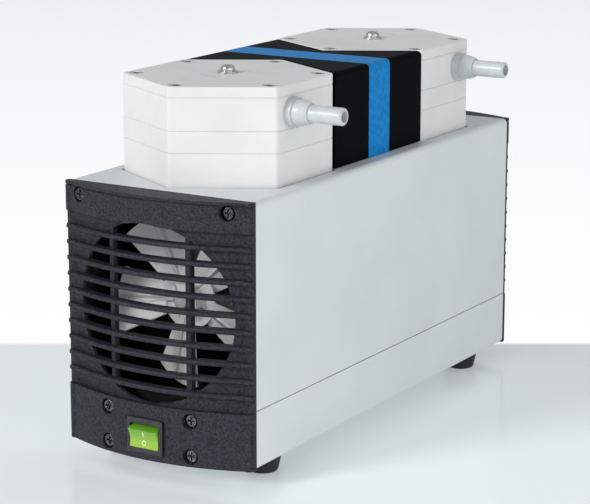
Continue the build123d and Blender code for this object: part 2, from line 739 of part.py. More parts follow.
# ---- cranks, rods and diaphragms ---------------------------------------------------------------
rod_ring_radius = rod_bearing_radius + rod_wall
for end, side in ends:
    lift = -side * eccentricity  # the front crank stands at its top, the rear one at its bottom
    pin_z = axis_z + lift
    with BuildPart() as eccentric:
        with BuildSketch(end_plane(side, counterweight_start)):
            with Locations((0, axis_z)):
                Circle(counterweight_radius)
            with Locations((0, axis_z + math.copysign(counterweight_radius, lift))):
                Rectangle(
                    2 * counterweight_radius, 2 * counterweight_radius, mode=Mode.SUBTRACT
                )
            with Locations((0, axis_z)):
                Circle(journal_radius + journal_shoulder)
        extrude(amount=counterweight)
        with BuildSketch(end_plane(side, counterweight_start)):
            with Locations((0, pin_z)):
                Circle(journal_radius + journal_shoulder)
        extrude(amount=journal_start - counterweight_start)
        with BuildSketch(end_plane(side, journal_start)):
            with Locations((0, pin_z)):
                Circle(journal_radius)
        extrude(amount=rod_width)
        with BuildSketch(end_plane(side, counterweight_start)):
            with Locations((0, axis_z)):
                Circle(shaft_radius)
        extrude(amount=case_depth, mode=Mode.SUBTRACT)
    eccentric.part.label = f"{end}_eccentric"
    export_step(eccentric.part, f"parts/{end}_eccentric.step")

    with BuildPart() as rod_bearing:
        with BuildSketch(end_plane(side, journal_start)):
            with Locations((0, pin_z)):
                Circle(rod_bearing_radius)
                Circle(journal_radius + slide_fit, mode=Mode.SUBTRACT)
        extrude(amount=rod_bearing_width)
        for face, depth in ((0, -bearing_seal_sink), (rod_bearing_width, bearing_seal_sink)):
            with BuildSketch(end_plane(side, journal_start + face)):
                with Locations((0, pin_z)):
                    Circle(rod_bearing_radius - bearing_race / 2)
                    Circle(journal_radius + bearing_race / 2, mode=Mode.SUBTRACT)
            extrude(amount=-depth, mode=Mode.SUBTRACT)
    rod_bearing.part.label = f"{end}_rod_bearing"
    export_step(rod_bearing.part, f"parts/{end}_rod_bearing.step")

    rod_top = pin_z + rod_top_above_pin
    with BuildPart() as connecting_rod:
        with BuildSketch(end_plane(side, head_y - rod_width / 2)):
            with Locations((0, pin_z)):
                Circle(rod_ring_radius)
            with Locations((0, (pin_z + rod_top - rod_head) / 2)):
                Rectangle(rod_neck_width, rod_top - rod_head - pin_z)
            with Locations((0, pin_z)):
                Circle(rod_bearing_radius, mode=Mode.SUBTRACT)
        extrude(amount=rod_width)
        with BuildSketch(Plane.XY.offset(rod_top - rod_head)):
            with Locations((0, side * head_y)):
                Circle(disc_radius)
        extrude(amount=rod_head)
        with BuildSketch(Plane.XY.offset(rod_top)):
            with Locations((0, side * head_y)):
                Circle(disc_stud_radius)
        extrude(amount=-disc_stud_grip, mode=Mode.SUBTRACT)
    connecting_rod.part.label = f"{end}_connecting_rod"
    export_step(connecting_rod.part, f"parts/{end}_connecting_rod.step")

    with BuildPart() as clamp_disc:
        with BuildSketch(Plane.XY.offset(rod_top + diaphragm)):
            with Locations((0, side * head_y)):
                Circle(disc_radius)
        extrude(amount=disc_thickness)
        fillet(clamp_disc.edges().group_by(Axis.Z)[-1], disc_thickness / 2)
        with BuildSketch(Plane.XY.offset(rod_top + diaphragm)):
            with Locations((0, side * head_y)):
                Circle(disc_stud_radius)
        extrude(amount=-diaphragm - disc_stud_grip)
    clamp_disc.part.label = f"{end}_clamp_disc"
    export_step(clamp_disc.part, f"parts/{end}_clamp_disc.step")

    stud_hole = disc_stud_radius + disc_hole_clearance
    fold_radius = disc_radius + swing_clearance
    with BuildPart() as membrane:
        with BuildSketch(Plane(origin=(0, side * head_y, 0), x_dir=(1, 0, 0), z_dir=(0, -1, 0))):
            with BuildLine():
                Polyline(
                    (stud_hole, rod_top),
                    (fold_radius, rod_top),
                    (diaphragm_working_radius, ring_top - diaphragm),
                    (diaphragm_radius, ring_top - diaphragm),
                    (diaphragm_radius, ring_top),
                    (diaphragm_working_radius, ring_top),
                    (fold_radius, rod_top + diaphragm),
                    (stud_hole, rod_top + diaphragm),
                    close=True,
                )
            make_face()
        revolve(axis=Axis((0, side * head_y, 0), (0, 0, 1)))
    membrane.part.label = f"{end}_diaphragm"
    export_step(membrane.part, f"parts/{end}_diaphragm.step")

# ---- heads -----------------------------------------------------------------------------------
shank_hole = head_screw_radius + head_screw_clearance
chamber_height = eccentricity + disc_thickness + top_clearance
for end, side in ends:
    outlet = (valve_x, side * nozzle_y)
    transfer = (-valve_x, side * (head_y - transfer_valve_y))

    with BuildPart() as clamp_ring:
        with BuildSketch(Plane.XY.offset(case_top)):
            with Locations((0, side * head_y)):
                head_outline(corner=head_corner)
        extrude(amount=ring_top - case_top)
        chamfer(clamp_ring.edges().group_by(Axis.Z)[-1], head_chamfer)
        with BuildSketch(Plane.XY.offset(case_top)):
            with Locations((0, side * head_y)):
                Circle(diaphragm_working_radius)
                with head_corners(head_screw_circle):
                    Circle(shank_hole)
        extrude(amount=ring_top - case_top, mode=Mode.SUBTRACT)
        with BuildSketch(Plane.XY.offset(ring_top)):
            with Locations((0, side * head_y)):
                Circle(diaphragm_radius + diaphragm_seat_clearance)
        extrude(amount=-diaphragm, mode=Mode.SUBTRACT)
    clamp_ring.part.label = f"{end}_clamp_ring"
    export_step(clamp_ring.part, f"parts/{end}_clamp_ring.step")

    with BuildPart() as head_plate:
        with BuildSketch(Plane.XY.offset(ring_top)):
            with Locations((0, side * head_y)):
                head_outline(corner=head_corner)
        extrude(amount=head_plate_height)
        chamfer(head_plate.edges().group_by(Axis.Z)[-1], head_chamfer)
        chamfer(head_plate.edges().group_by(Axis.Z)[0], head_chamfer)
        with BuildSketch(Plane.XY.offset(ring_top)):
            with Locations((0, side * head_y)):
                Circle(diaphragm_working_radius)
        extrude(amount=chamber_height, mode=Mode.SUBTRACT)
        with BuildSketch(Plane.XY.offset(ring_top)):
            with Locations(outlet, transfer):
                Circle(valve_port_radius)
            with Locations((0, side * head_y)):
                with head_corners(head_screw_circle):
                    Circle(shank_hole)
        extrude(amount=head_plate_height, mode=Mode.SUBTRACT)
        with BuildSketch(Plane.XY.offset(head_plate_top)):
            with Locations(outlet, transfer):
                Circle(valve_chamber_radius)
        extrude(amount=-valve_thickness - valve_gap, mode=Mode.SUBTRACT)
    head_plate.part.label = f"{end}_head_plate"
    export_step(head_plate.part, f"parts/{end}_head_plate.step")

    with BuildPart() as valves:
        with BuildSketch(Plane.XY.offset(head_plate_top - valve_thickness - valve_gap)):
            with Locations(outlet, transfer):
                Circle(valve_radius)
        extrude(amount=valve_thickness)
    valves.part.label = f"{end}_valves"
    export_step(valves.part, f"parts/{end}_valves.step")

    nozzle_plane = Plane(origin=(head_flats / 2, 0, 0), x_dir=(0, 1, 0), z_dir=(1, 0, 0))
    tube_start = head_y - hexagon_radius + valve_x * math.tan(hexagon_slope) + tube_socket
    with BuildPart() as port_plate:
        with BuildSketch(Plane.XY.offset(head_plate_top)):
            with Locations((0, side * head_y)):
                head_outline(corner=head_corner)
        extrude(amount=port_plate_height)
        chamfer(port_plate.edges().group_by(Axis.Z)[-1], head_chamfer)
        chamfer(port_plate.edges().group_by(Axis.Z)[0], head_chamfer)
        with BuildSketch(Plane.XY.offset(head_plate_top)):
            with Locations(outlet, transfer):
                Circle(valve_chamber_radius)
        extrude(amount=valve_chamber_height, mode=Mode.SUBTRACT)
        with BuildSketch(Plane.XY.offset(head_plate_top)):
            with Locations((0, side * head_y)):
                Circle(centre_screw_radius)
                with head_corners(head_screw_circle):
                    Circle(shank_hole)
        extrude(amount=port_plate_height, mode=Mode.SUBTRACT)
        with BuildSketch(nozzle_plane):
            with Locations((side * nozzle_y, port_z)):
                Circle(nozzle_root_radius)
        extrude(amount=-nozzle_socket, mode=Mode.SUBTRACT)
        with BuildSketch(nozzle_plane):
            with Locations((side * nozzle_y, port_z)):
                Circle(nozzle_bore_radius)
        extrude(amount=valve_x - head_flats / 2, mode=Mode.SUBTRACT)
        with BuildSketch(end_plane(-side, -tube_start)):
            with Locations((side * -valve_x, port_z)):
                Circle(tube_radius + slide_fit)
        extrude(amount=tube_start, mode=Mode.SUBTRACT)
        with BuildSketch(end_plane(-side, -head_y + transfer_valve_y)):
            with Locations((side * -valve_x, port_z)):
                Circle(tube_bore_radius)
        extrude(amount=head_y, mode=Mode.SUBTRACT)
    port_plate.part.label = f"{end}_port_plate"
    export_step(port_plate.part, f"parts/{end}_port_plate.step")

    with BuildPart() as head_lid:
        with BuildSketch(Plane.XY.offset(port_plate_top)):
            with Locations((0, side * head_y)):
                head_outline(corner=head_corner)
        extrude(amount=lid_height)
        fillet(head_lid.edges().group_by(Axis.Z)[-1], 2 * head_chamfer)
        chamfer(head_lid.edges().group_by(Axis.Z)[0], head_chamfer)
        with BuildSketch(Plane.XY.offset(port_plate_top)):
            with Locations((0, side * head_y)):
                Circle(centre_screw_radius)
                with head_corners(head_screw_circle):
                    Circle(shank_hole)
        extrude(amount=lid_height, mode=Mode.SUBTRACT)
        with BuildSketch(Plane.XY.offset(head_top)):
            with Locations((0, side * head_y)):
                with head_corners(head_screw_circle):
                    Circle(head_screw_head_radius + head_screw_clearance)
        extrude(amount=-head_screw_sink - head_screw_head, mode=Mode.SUBTRACT)
    head_lid.part.label = f"{end}_head_lid"
    export_step(head_lid.part, f"parts/{end}_head_lid.step")

    with BuildPart() as hose_nut:
        with BuildSketch(Plane.XZ.offset(-side * nozzle_y).shift_origin((0, side * nozzle_y, port_z))):
            with BuildLine():
                wall_x = head_flats / 2
                Polyline(
                    (wall_x + nut_collar + nut_dome, nozzle_root_radius),
                    (wall_x, nozzle_root_radius),
                    (wall_x, nut_collar_radius),
                    (wall_x + nut_collar, nut_collar_radius),
                    (wall_x + nut_collar, nut_dome_radius),
                )
                ThreePointArc(
                    (wall_x + nut_collar, nut_dome_radius),
                    (wall_x + nut_collar + nut_dome_shoulder * nut_dome, (nut_dome_radius + nut_lip_radius) / 2),
                    (wall_x + nut_collar + nut_dome, nut_lip_radius),
                )
                Line(
                    (wall_x + nut_collar + nut_dome, nut_lip_radius),
                    (wall_x + nut_collar + nut_dome, nozzle_root_radius),
                )
            make_face()
        revolve(axis=Axis((0, side * nozzle_y, port_z), (1, 0, 0)))
    hose_nut.part.label = f"{end}_hose_nut"
    export_step(hose_nut.part, f"parts/{end}_hose_nut.step")

    with BuildPart() as hose_nozzle:
        with BuildSketch(nozzle_plane.offset(-nozzle_socket)):
            with Locations((side * nozzle_y, port_z)):
                Circle(nozzle_root_radius)
        extrude(amount=nozzle_socket + nut_collar + nut_dome)
        with BuildSketch(nozzle_plane):
            with Locations((side * nozzle_y, port_z)):
                Circle(nozzle_radius)
        extrude(amount=nozzle_reach)
        with BuildSketch(nozzle_plane.offset(-nozzle_socket)):
            with Locations((side * nozzle_y, port_z)):
                Circle(nozzle_bore_radius)
        extrude(amount=nozzle_socket + nozzle_reach, mode=Mode.SUBTRACT)
        tip_edges = hose_nozzle.edges().group_by(Axis.X)[-1].sort_by(SortBy.LENGTH)
        fillet(tip_edges[-1], nozzle_tip_round)
    hose_nozzle.part.label = f"{end}_hose_nozzle"
    export_step(hose_nozzle.part, f"parts/{end}_hose_nozzle.step")

with BuildPart() as head_screws:
    for end, side in ends:
        seat = head_top - head_screw_sink - head_screw_head
        with BuildSketch(Plane.XY.offset(case_top - head_screw_bite)):
            with Locations((0, side * head_y)):
                with head_corners(head_screw_circle):
                    Circle(head_screw_radius)
        extrude(amount=seat - case_top + head_screw_bite)
        with BuildSketch(Plane.XY.offset(seat)):
            with Locations((0, side * head_y)):
                with head_corners(head_screw_circle):
                    Circle(head_screw_head_radius)
        extrude(amount=head_screw_head)
        with BuildSketch(Plane.XY.offset(seat + head_screw_head)):
            with Locations((0, side * head_y)):
                with head_corners(head_screw_circle):
                    RegularPolygon(socket_flats / 2, hexagon_corners, major_radius=False)
        extrude(amount=-socket_depth, mode=Mode.SUBTRACT)
head_screws.part.label = "head_screws"
export_step(head_screws.part, "parts/head_screws.step")

with BuildPart() as centre_washers:
    with BuildSketch(Plane.XY.offset(head_top)):
        with Locations((0, -head_y), (0, head_y)):
            Circle(centre_washer_radius)
            Circle(centre_screw_radius, mode=Mode.SUBTRACT)
    extrude(amount=centre_washer)
centre_washers.part.label = "centre_washers"
export_step(centre_washers.part, "parts/centre_washers.step")

with BuildPart() as centre_screws:
    with BuildSketch(Plane.XY.offset(head_top - centre_screw_bite)):
        with Locations((0, -head_y), (0, head_y)):
            Circle(centre_screw_radius)
    extrude(amount=centre_screw_bite + centre_washer)
    with BuildSketch(Plane.XY.offset(head_top + centre_washer)):
        with Locations((0, -head_y), (0, head_y)):
            Circle(centre_screw_dome_radius)
    extrude(amount=centre_screw_dome)
    fillet(centre_screws.edges().group_by(Axis.Z)[-1], centre_screw_round)
centre_screws.part.label = "centre_screws"
export_step(centre_screws.part, "parts/centre_screws.step")

# ---- bridge between the heads ----------------------------------------------------------------
def bridge_outline(gap, half_x):
    """Points of the hourglass between the heads, gap away from them and half_x to each side."""
    waist = head_y - hexagon_radius - gap / math.cos(hexagon_slope)
    side_y = waist + half_x * math.tan(hexagon_slope)
    return [
        (0, -waist),
        (half_x, -side_y),
        (half_x, side_y),
        (0, waist),
        (-half_x, side_y),
        (-half_x, -side_y),
    ]


bridge_low = top + bridge_lift
bridge_half = head_flats / 2
bridge_middle = (bridge_low + head_top) / 2
with BuildSketch() as stripe_shape:
    with Locations((0, bridge_middle)):
        band = Rectangle(2 * bridge_half, head_top - bridge_low)
    fillet(band.vertices().group_by(Axis.Y)[-1], bridge_round)
    with BuildSketch(mode=Mode.SUBTRACT):
        with Locations((0, bridge_middle - stripe_thickness)):
            core = Rectangle(2 * (bridge_half - stripe_thickness), head_top - bridge_low)
        fillet(core.vertices().group_by(Axis.Y)[-1], bridge_round - stripe_thickness)
stripe_section = stripe_shape.sketch

with BuildPart() as bridge_cover:
    with BuildSketch(Plane.XY.offset(bridge_low)):
        Polygon(*bridge_outline(bridge_gap, bridge_half), align=None)
    extrude(amount=head_top - bridge_low)
    bridge_sides = bridge_cover.faces().filter_by(Axis.X)
    fillet(bridge_sides.edges().group_by(Axis.Z)[-1], bridge_round)
    with BuildSketch(Plane.XY.offset(bridge_low)):
        Polygon(
            *bridge_outline(bridge_gap + bridge_wall, bridge_half - bridge_wall), align=None
        )
    extrude(amount=head_top - bridge_low - bridge_wall, mode=Mode.SUBTRACT)
    with BuildSketch(Plane.XZ):
        add(stripe_section)
    extrude(amount=stripe_width / 2, both=True, mode=Mode.SUBTRACT)
    for end, side in ends:
        with BuildSketch(end_plane(side, 0)):
            with Locations((side * valve_x, port_z)):
                Circle(tube_radius + tube_clearance)
        extrude(amount=head_y, mode=Mode.SUBTRACT)
bridge_cover.part.label = "bridge_cover"
export_step(bridge_cover.part, "parts/bridge_cover.step")

with BuildPart() as bridge_stripe:
    with BuildSketch(Plane.XZ):
        add(stripe_section)
    extrude(amount=stripe_width / 2, both=True)
bridge_stripe.part.label = "bridge_stripe"
export_step(bridge_stripe.part, "parts/bridge_stripe.step")

with BuildPart() as transfer_tube:
    with BuildSketch(Plane.XZ):
        with Locations((-valve_x, port_z)):
            Circle(tube_radius)
            Circle(tube_bore_radius, mode=Mode.SUBTRACT)
    extrude(amount=tube_start, both=True)
transfer_tube.part.label = "transfer_tube"
export_step(transfer_tube.part, "parts/transfer_tube.step")

# ---- fans --------------------------------------------------------------------------------------
blade_tip_x = math.sqrt(fan_radius**2 - (fan_blade_tip_width / 2) ** 2)
with BuildPart() as fan_blade:
    with BuildSketch():
        with BuildLine():
            Polyline(
                (blade_tip_x, fan_blade_tip_width / 2),
                (fan_blade_root, fan_blade_root_width / 2),
                (fan_blade_root, -fan_blade_root_width / 2),
                (blade_tip_x, -fan_blade_tip_width / 2),
            )
            ThreePointArc(
                (blade_tip_x, -fan_blade_tip_width / 2),
                (fan_radius, 0),
                (blade_tip_x, fan_blade_tip_width / 2),
            )
        make_face()
    extrude(amount=fan_sheet / 2, both=True)
pitched_blade = fan_blade.part.rotate(Axis.X, fan_blade_pitch)

for end, side in ends:
    hub_place = end_plane(side, fan_plane).location * Pos(0, axis_z, 0)
    with BuildPart() as fan:
        with BuildSketch(end_plane(side, fan_hub_start)):
            with Locations((0, axis_z)):
                Circle(fan_hub_radius)
        extrude(amount=fan_hub_end - fan_hub_start)
        with BuildSketch(end_plane(side, fan_plane - fan_sheet / 2)):
            with Locations((0, axis_z)):
                Circle(fan_plate_radius)
        extrude(amount=fan_sheet)
        for number in range(fan_blade_count):
            turn = fan_blade_angle + number * 360 / fan_blade_count
            add(pitched_blade.moved(hub_place * Rot(0, 0, turn)))
        with BuildSketch(end_plane(side, fan_hub_start)):
            with Locations((0, axis_z)):
                Circle(shaft_end_radius)
        extrude(amount=fan_hub_end - fan_hub_start, mode=Mode.SUBTRACT)
    fan.part.label = f"{end}_fan"
    export_step(fan.part, f"parts/{end}_fan.step")

# ---- switch ------------------------------------------------------------------------------------
bezel_face = cover_face + switch_proud
window_width = rocker_width + 2 * rocker_gap
pivot_reach = bezel_face - rocker_depth_in_bezel
with BuildPart() as switch_body:
    with BuildSketch(end_plane(-1, bezel_face)):
        with Locations((0, fitting_z)):
            RectangleRounded(switch_width, switch_height, bezel_corner)
    extrude(amount=-switch_proud)
    chamfer(switch_body.edges().group_by(Axis.Y)[0], bezel_chamfer)
    with BuildSketch(end_plane(-1, cover_face)):
        with Locations((0, fitting_z)):
            Rectangle(switch_body_width, switch_body_height)
    extrude(amount=-switch_body_depth)
    with BuildSketch(end_plane(-1, bezel_face)):
        with Locations((0, fitting_z)):
            Rectangle(window_width, 2 * rocker_window_half_height)
    extrude(amount=-rocker_room, mode=Mode.SUBTRACT)
    with BuildSketch(Plane.YZ):
        with Locations((-pivot_reach, fitting_z)):
            Circle(rocker_pin_radius + slide_fit)
    extrude(amount=rocker_width / 2 + rocker_pin + slide_fit, both=True, mode=Mode.SUBTRACT)
switch_body.part.label = "switch_body"
export_step(switch_body.part, "parts/switch_body.step")

with BuildPart() as switch_rocker:
    with BuildSketch(Plane.YZ):
        with BuildLine():
            Polyline(
                (-rocker_out, rocker_tip_half_height),
                (0, rocker_root_half_height),
                (rocker_back, rocker_pin_radius * 2),
                (rocker_back, -rocker_pin_radius * 2),
                (0, -rocker_root_half_height),
                (-rocker_out, -rocker_tip_half_height),
            )
            ThreePointArc(
                (-rocker_out, -rocker_tip_half_height),
                (-rocker_out + rocker_hollow, 0),
                (-rocker_out, rocker_tip_half_height),
            )
        make_face()
    extrude(amount=rocker_width / 2, both=True)
    with BuildSketch(Plane.YZ):
        Circle(rocker_pin_radius)
    extrude(amount=rocker_width / 2 + rocker_pin, both=True)
rocker_place = Location((0, -pivot_reach, fitting_z), (rocker_tilt, 0, 0))
switch_rocker.part = switch_rocker.part.moved(rocker_place)
switch_rocker.part.label = "switch_rocker"
export_step(switch_rocker.part, "parts/switch_rocker.step")

# ---- mains inlet -------------------------------------------------------------------------------
with BuildPart() as mains_inlet:
    with BuildSketch(end_plane(1, bezel_face)):
        with Locations((0, fitting_z)):
            RectangleRounded(inlet_width, inlet_height, inlet_corner)
    extrude(amount=-switch_proud)
    with BuildSketch(end_plane(1, cover_face)):
        with Locations((0, fitting_z)):
            Rectangle(inlet_body_width, inlet_body_height)
    extrude(amount=-inlet_depth)
    with BuildSketch(end_plane(1, bezel_face)):
        with Locations((0, fitting_z)):
            socket_outline = Rectangle(inlet_socket_width, inlet_socket_height)
        chamfer(socket_outline.vertices().group_by(Axis.Y)[-1], inlet_socket_chamfer)
    extrude(amount=-inlet_socket_depth, mode=Mode.SUBTRACT)
mains_inlet.part.label = "mains_inlet"
export_step(mains_inlet.part, "parts/mains_inlet.step")

inlet_pin_spots = [
    (-inlet_pin_pitch, fitting_z - inlet_pin_rise),
    (0, fitting_z + inlet_pin_rise),
    (inlet_pin_pitch, fitting_z - inlet_pin_rise),
]
with BuildPart() as inlet_pins:
    with BuildSketch(end_plane(1, bezel_face - inlet_socket_depth)):
        for x, z in inlet_pin_spots:
            with Locations((x, z)):
                Rectangle(*inlet_pin)
    extrude(amount=inlet_pin_length)
inlet_pins.part.label = "inlet_pins"
export_step(inlet_pins.part, "parts/inlet_pins.step")

# ---- electrical parts on the tray ----------------------------------------------------------------
with BuildPart() as run_capacitor:
    with BuildSketch(Plane.XZ):
        with Locations((-capacitor_x, tray_top + capacitor_radius)):
            Circle(capacitor_radius)
    extrude(amount=capacitor_length / 2, both=True)
    fillet(run_capacitor.edges().filter_by(GeomType.CIRCLE), capacitor_round)
run_capacitor.part.label = "run_capacitor"
export_step(run_capacitor.part, "parts/run_capacitor.step")

with BuildPart() as terminal_block:
    with BuildSketch(Plane.XY.offset(tray_top)):
        with Locations((terminal_x, 0)):
            Rectangle(terminal_size[0], terminal_size[1])
    extrude(amount=terminal_size[2])
    with BuildSketch(Plane.XY.offset(tray_top + terminal_size[2])):
        with Locations((terminal_x, 0)):
            with GridLocations(terminal_size[0] / 2, terminal_size[1] / terminal_ways, 2, terminal_ways):
                Circle(terminal_screw_radius)
    extrude(amount=-terminal_screw_sink, mode=Mode.SUBTRACT)
terminal_block.part.label = "terminal_block"
export_step(terminal_block.part, "parts/terminal_block.step")

cable_low = tray_top + cable_radius
inlet_back = cover_face - inlet_depth
switch_back = cover_face - switch_body_depth
cable_route = [
    (-cable_exit_x, inlet_back, fitting_z),
    (-cable_exit_x, cable_turn_y, fitting_z),
    (-cable_x, cable_turn_y - cable_bend, cable_low),
    (-cable_x, -cable_turn_y + cable_bend, cable_low),
    (-cable_exit_x, -cable_turn_y, fitting_z),
    (-cable_exit_x, -switch_back, fitting_z),
]
with BuildPart() as mains_lead:
    with BuildLine() as route:
        FilletPolyline(*cable_route, radius=cable_bend / 2)
    with BuildSketch(Plane(origin=cable_route[0], z_dir=(0, -1, 0))):
        Circle(cable_radius)
    sweep()
mains_lead.part.label = "mains_lead"
export_step(mains_lead.part, "parts/mains_lead.step")
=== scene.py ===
# %% [markdown]
# # Dressing a twin-head diaphragm vacuum pump
# The construction is already finished: every piece arrives at its real size and place. This lesson
# gives each surface the finish it has on the real pump, adds the few details that are too fine for
# the construction, and sets up a plain photographic studio around it.

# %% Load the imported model
import json
import math

import bmesh
import bpy
from mathutils import Matrix, Vector


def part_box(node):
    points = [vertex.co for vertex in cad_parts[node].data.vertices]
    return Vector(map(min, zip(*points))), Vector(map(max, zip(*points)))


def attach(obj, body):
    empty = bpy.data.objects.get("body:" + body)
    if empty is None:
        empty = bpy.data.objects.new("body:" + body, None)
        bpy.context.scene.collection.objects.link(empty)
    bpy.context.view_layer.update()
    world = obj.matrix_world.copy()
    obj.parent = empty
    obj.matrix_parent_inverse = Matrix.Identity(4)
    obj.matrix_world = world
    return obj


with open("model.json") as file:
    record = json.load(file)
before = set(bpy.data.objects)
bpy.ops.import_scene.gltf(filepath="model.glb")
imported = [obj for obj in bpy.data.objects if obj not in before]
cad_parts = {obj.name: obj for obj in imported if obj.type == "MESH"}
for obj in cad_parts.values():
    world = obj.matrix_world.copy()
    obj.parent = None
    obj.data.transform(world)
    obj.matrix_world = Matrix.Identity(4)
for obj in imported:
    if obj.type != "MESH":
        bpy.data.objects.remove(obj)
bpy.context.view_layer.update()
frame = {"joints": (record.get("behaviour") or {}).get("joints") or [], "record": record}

MM = 0.001
ends = ("front", "rear")

# %% [markdown]
# ## Camera
# A long lens stands well back, so the box of the pump keeps nearly parallel edges. The camera is
# placed by its bearing, its height angle and its distance from a point inside the housing, which is
# easier to think about than three coordinates.

# %% Place the camera
camera_bearing = math.radians(31.34)  # round from the grille towards the nozzle side
camera_rise = math.radians(13.32)
camera_distance = 1.3441
camera_aim = Vector((-0.0063, 0.0, 0.0956))
camera_data = bpy.data.cameras.new("studio_camera")
camera_data.lens = 132.86
camera_data.sensor_width = 36.0
camera_data.clip_end = 50.0
camera = bpy.data.objects.new("studio_camera", camera_data)
bpy.context.collection.objects.link(camera)
towards_camera = Vector(
    (
        math.cos(camera_rise) * math.sin(camera_bearing),
        -math.cos(camera_rise) * math.cos(camera_bearing),
        math.sin(camera_rise),
    )
)
camera.location = camera_aim + camera_distance * towards_camera
camera.rotation_euler = towards_camera.to_track_quat("Z", "Y").to_euler()
bpy.context.scene.camera = camera
print("camera at", [round(value, 3) for value in camera.location])

# %% [markdown]
# ## Small helpers
# Colours are picked as they look on a screen, so they are written as hex values and turned into the
# linear numbers that the renderer works with. Every material is a tree of nodes, so one helper
# starts a tree and another adds a node to it and feeds its sockets.


# %% Start a tree and add nodes to it
def linear(hex_colour):
    """Linear RGBA of a screen colour such as #D5D9DB."""
    channels = [int(hex_colour[i : i + 2], 16) / 255 for i in (1, 3, 5)]
    straight = [c / 12.92 if c <= 0.04045 else ((c + 0.055) / 1.055) ** 2.4 for c in channels]
    return (*straight, 1.0)


def empty_tree(owner):
    """The node tree of a material or a world, with nothing in it yet."""
    owner.use_nodes = True
    owner.node_tree.nodes.clear()
    return owner.node_tree


def add_node(tree, kind, settings=None):
    """Adds a node; each setting is a link or a value for a socket, or one of its properties."""
    node = tree.nodes.new(kind)
    for name, value in (settings or {}).items():
        if isinstance(value, bpy.types.NodeSocket):
            tree.links.new(value, node.inputs[name])
        elif isinstance(name, int) or name in node.inputs:
            node.inputs[name].default_value = value
        else:
            setattr(node, name, value)
    return node


print("mid grey on a screen is", [round(value, 3) for value in linear("#808080")], "in linear light")

# %% [markdown]
# ## A body for every finish
# Most finishes here share one build: a colour that drifts a little over the surface, a fine relief
# from the tool or the spray gun, and edges that are not knife sharp. Only the numbers differ, so one
# function makes the shared part, and each real material is a short call with its own values.

# %% The shared build of a finish
mix_first, mix_second, mix_result = 6, 7, 2  # the colour sockets of a mix node
drift_low, drift_high = 0.35, 0.65  # most of the noise lies between these
gloss_spread = 0.08  # the roughness varies this much to each side


def per_metre(size_mm):
    """Texture scale at which one feature of the pattern is about size_mm wide."""
    return 1000.0 / size_mm


def finish(name, dark, light, patch, grain, relief, roughness, edge=0.3, **shader_settings):
    """A material whose colour drifts between dark and light over patches, with a grain.

    Sizes are in millimetres: patch is how wide the drift is, grain how wide the relief, relief how
    deep it is, and edge how far the sharp edges are rounded for the light.
    """
    material = bpy.data.materials.new(name)
    tree = empty_tree(material)
    place = add_node(tree, "ShaderNodeTexCoord").outputs["Object"]
    patches = {"Scale": per_metre(patch), "Detail": 3.0, "Vector": place}
    drift = add_node(tree, "ShaderNodeTexNoise", patches).outputs["Fac"]
    drift_range = {"Value": drift, "From Min": drift_low, "From Max": drift_high}
    share = add_node(tree, "ShaderNodeMapRange", drift_range).outputs["Result"]
    colours = {"data_type": "RGBA", 0: share, mix_first: linear(dark), mix_second: linear(light)}
    colour = add_node(tree, "ShaderNodeMix", colours).outputs[mix_result]
    grains = {"Scale": per_metre(grain), "Detail": 2.0, "Vector": place}
    bumps = add_node(tree, "ShaderNodeTexNoise", grains).outputs["Fac"]
    gloss_range = {"Value": bumps, "To Min": roughness - gloss_spread, "To Max": roughness + gloss_spread}
    gloss = add_node(tree, "ShaderNodeMapRange", gloss_range).outputs["Result"]
    rounded = add_node(tree, "ShaderNodeBevel", {"samples": 4, "Radius": edge * MM}).outputs["Normal"]
    raised = {"Distance": relief * MM, "Strength": 1.0, "Height": bumps, "Normal": rounded}
    surface = add_node(tree, "ShaderNodeBump", raised).outputs["Normal"]
    inputs = {**shader_settings, "Base Color": colour, "Roughness": gloss, "Normal": surface}
    shader = add_node(tree, "ShaderNodeBsdfPrincipled", inputs)
    add_node(tree, "ShaderNodeOutputMaterial", {"Surface": shader.outputs["BSDF"]})
    return material


print("the roughness of a finish varies by", gloss_spread, "to each side")

# %% [markdown]
# A finish is put on a piece by its name. Some pieces arrive with a slot for a material and some
# without one, and new meshes could be made for them, but filling the slots leaves the meshes as they
# came.


# %% Put a finish on the pieces it belongs to
def dress(material, *nodes):
    """Gives each named CAD node the material in every slot it has."""
    for node in nodes:
        mesh = bpy.data.objects[node].data
        if not mesh.materials:
            mesh.materials.append(material)
        for index in range(len(mesh.materials)):
            mesh.materials[index] = material
    print(f"{material.name}: {', '.join(nodes)}")


# %% [markdown]
# ## Sheet-metal housing
# The tray and the hood are bent from thin steel and powder coated. The powder melts into a film that
# never lies quite flat, so it shows a faint orange peel and softens the bends. A picture of paint
# would have to be unwrapped on every sheet; a noise sized in millimetres is the same on all of them.

# %% Powder-coated steel
powder_coated_steel = finish(
    "powder_coated_steel", "#D2D7D9", "#D8DCDE", patch=60, grain=1.1, relief=0.012, roughness=0.42,
    edge=0.6, IOR=1.5,
)
dress(powder_coated_steel, "base_tray", "housing_cover")

# %% [markdown]
# Inside, the sheets are coloured near black, a painted shade, so nothing pale shows behind the grilles.
# A dark sheet could be a mesh of its own, but it would have to follow every cut-out. Here the painted
# shade is a matter of place alone: whatever lies within the outer skin of the sheet is black.

# %% Paint shade on the inside
skin = 1.0 * MM
# Near black: a painted shade for the dark inside the housing, not a coating.
painted_shade_black = "#0E0E10"


def find_node(material, kind):
    """The first node of this kind in a material."""
    return next(node for node in material.node_tree.nodes if node.type == kind)


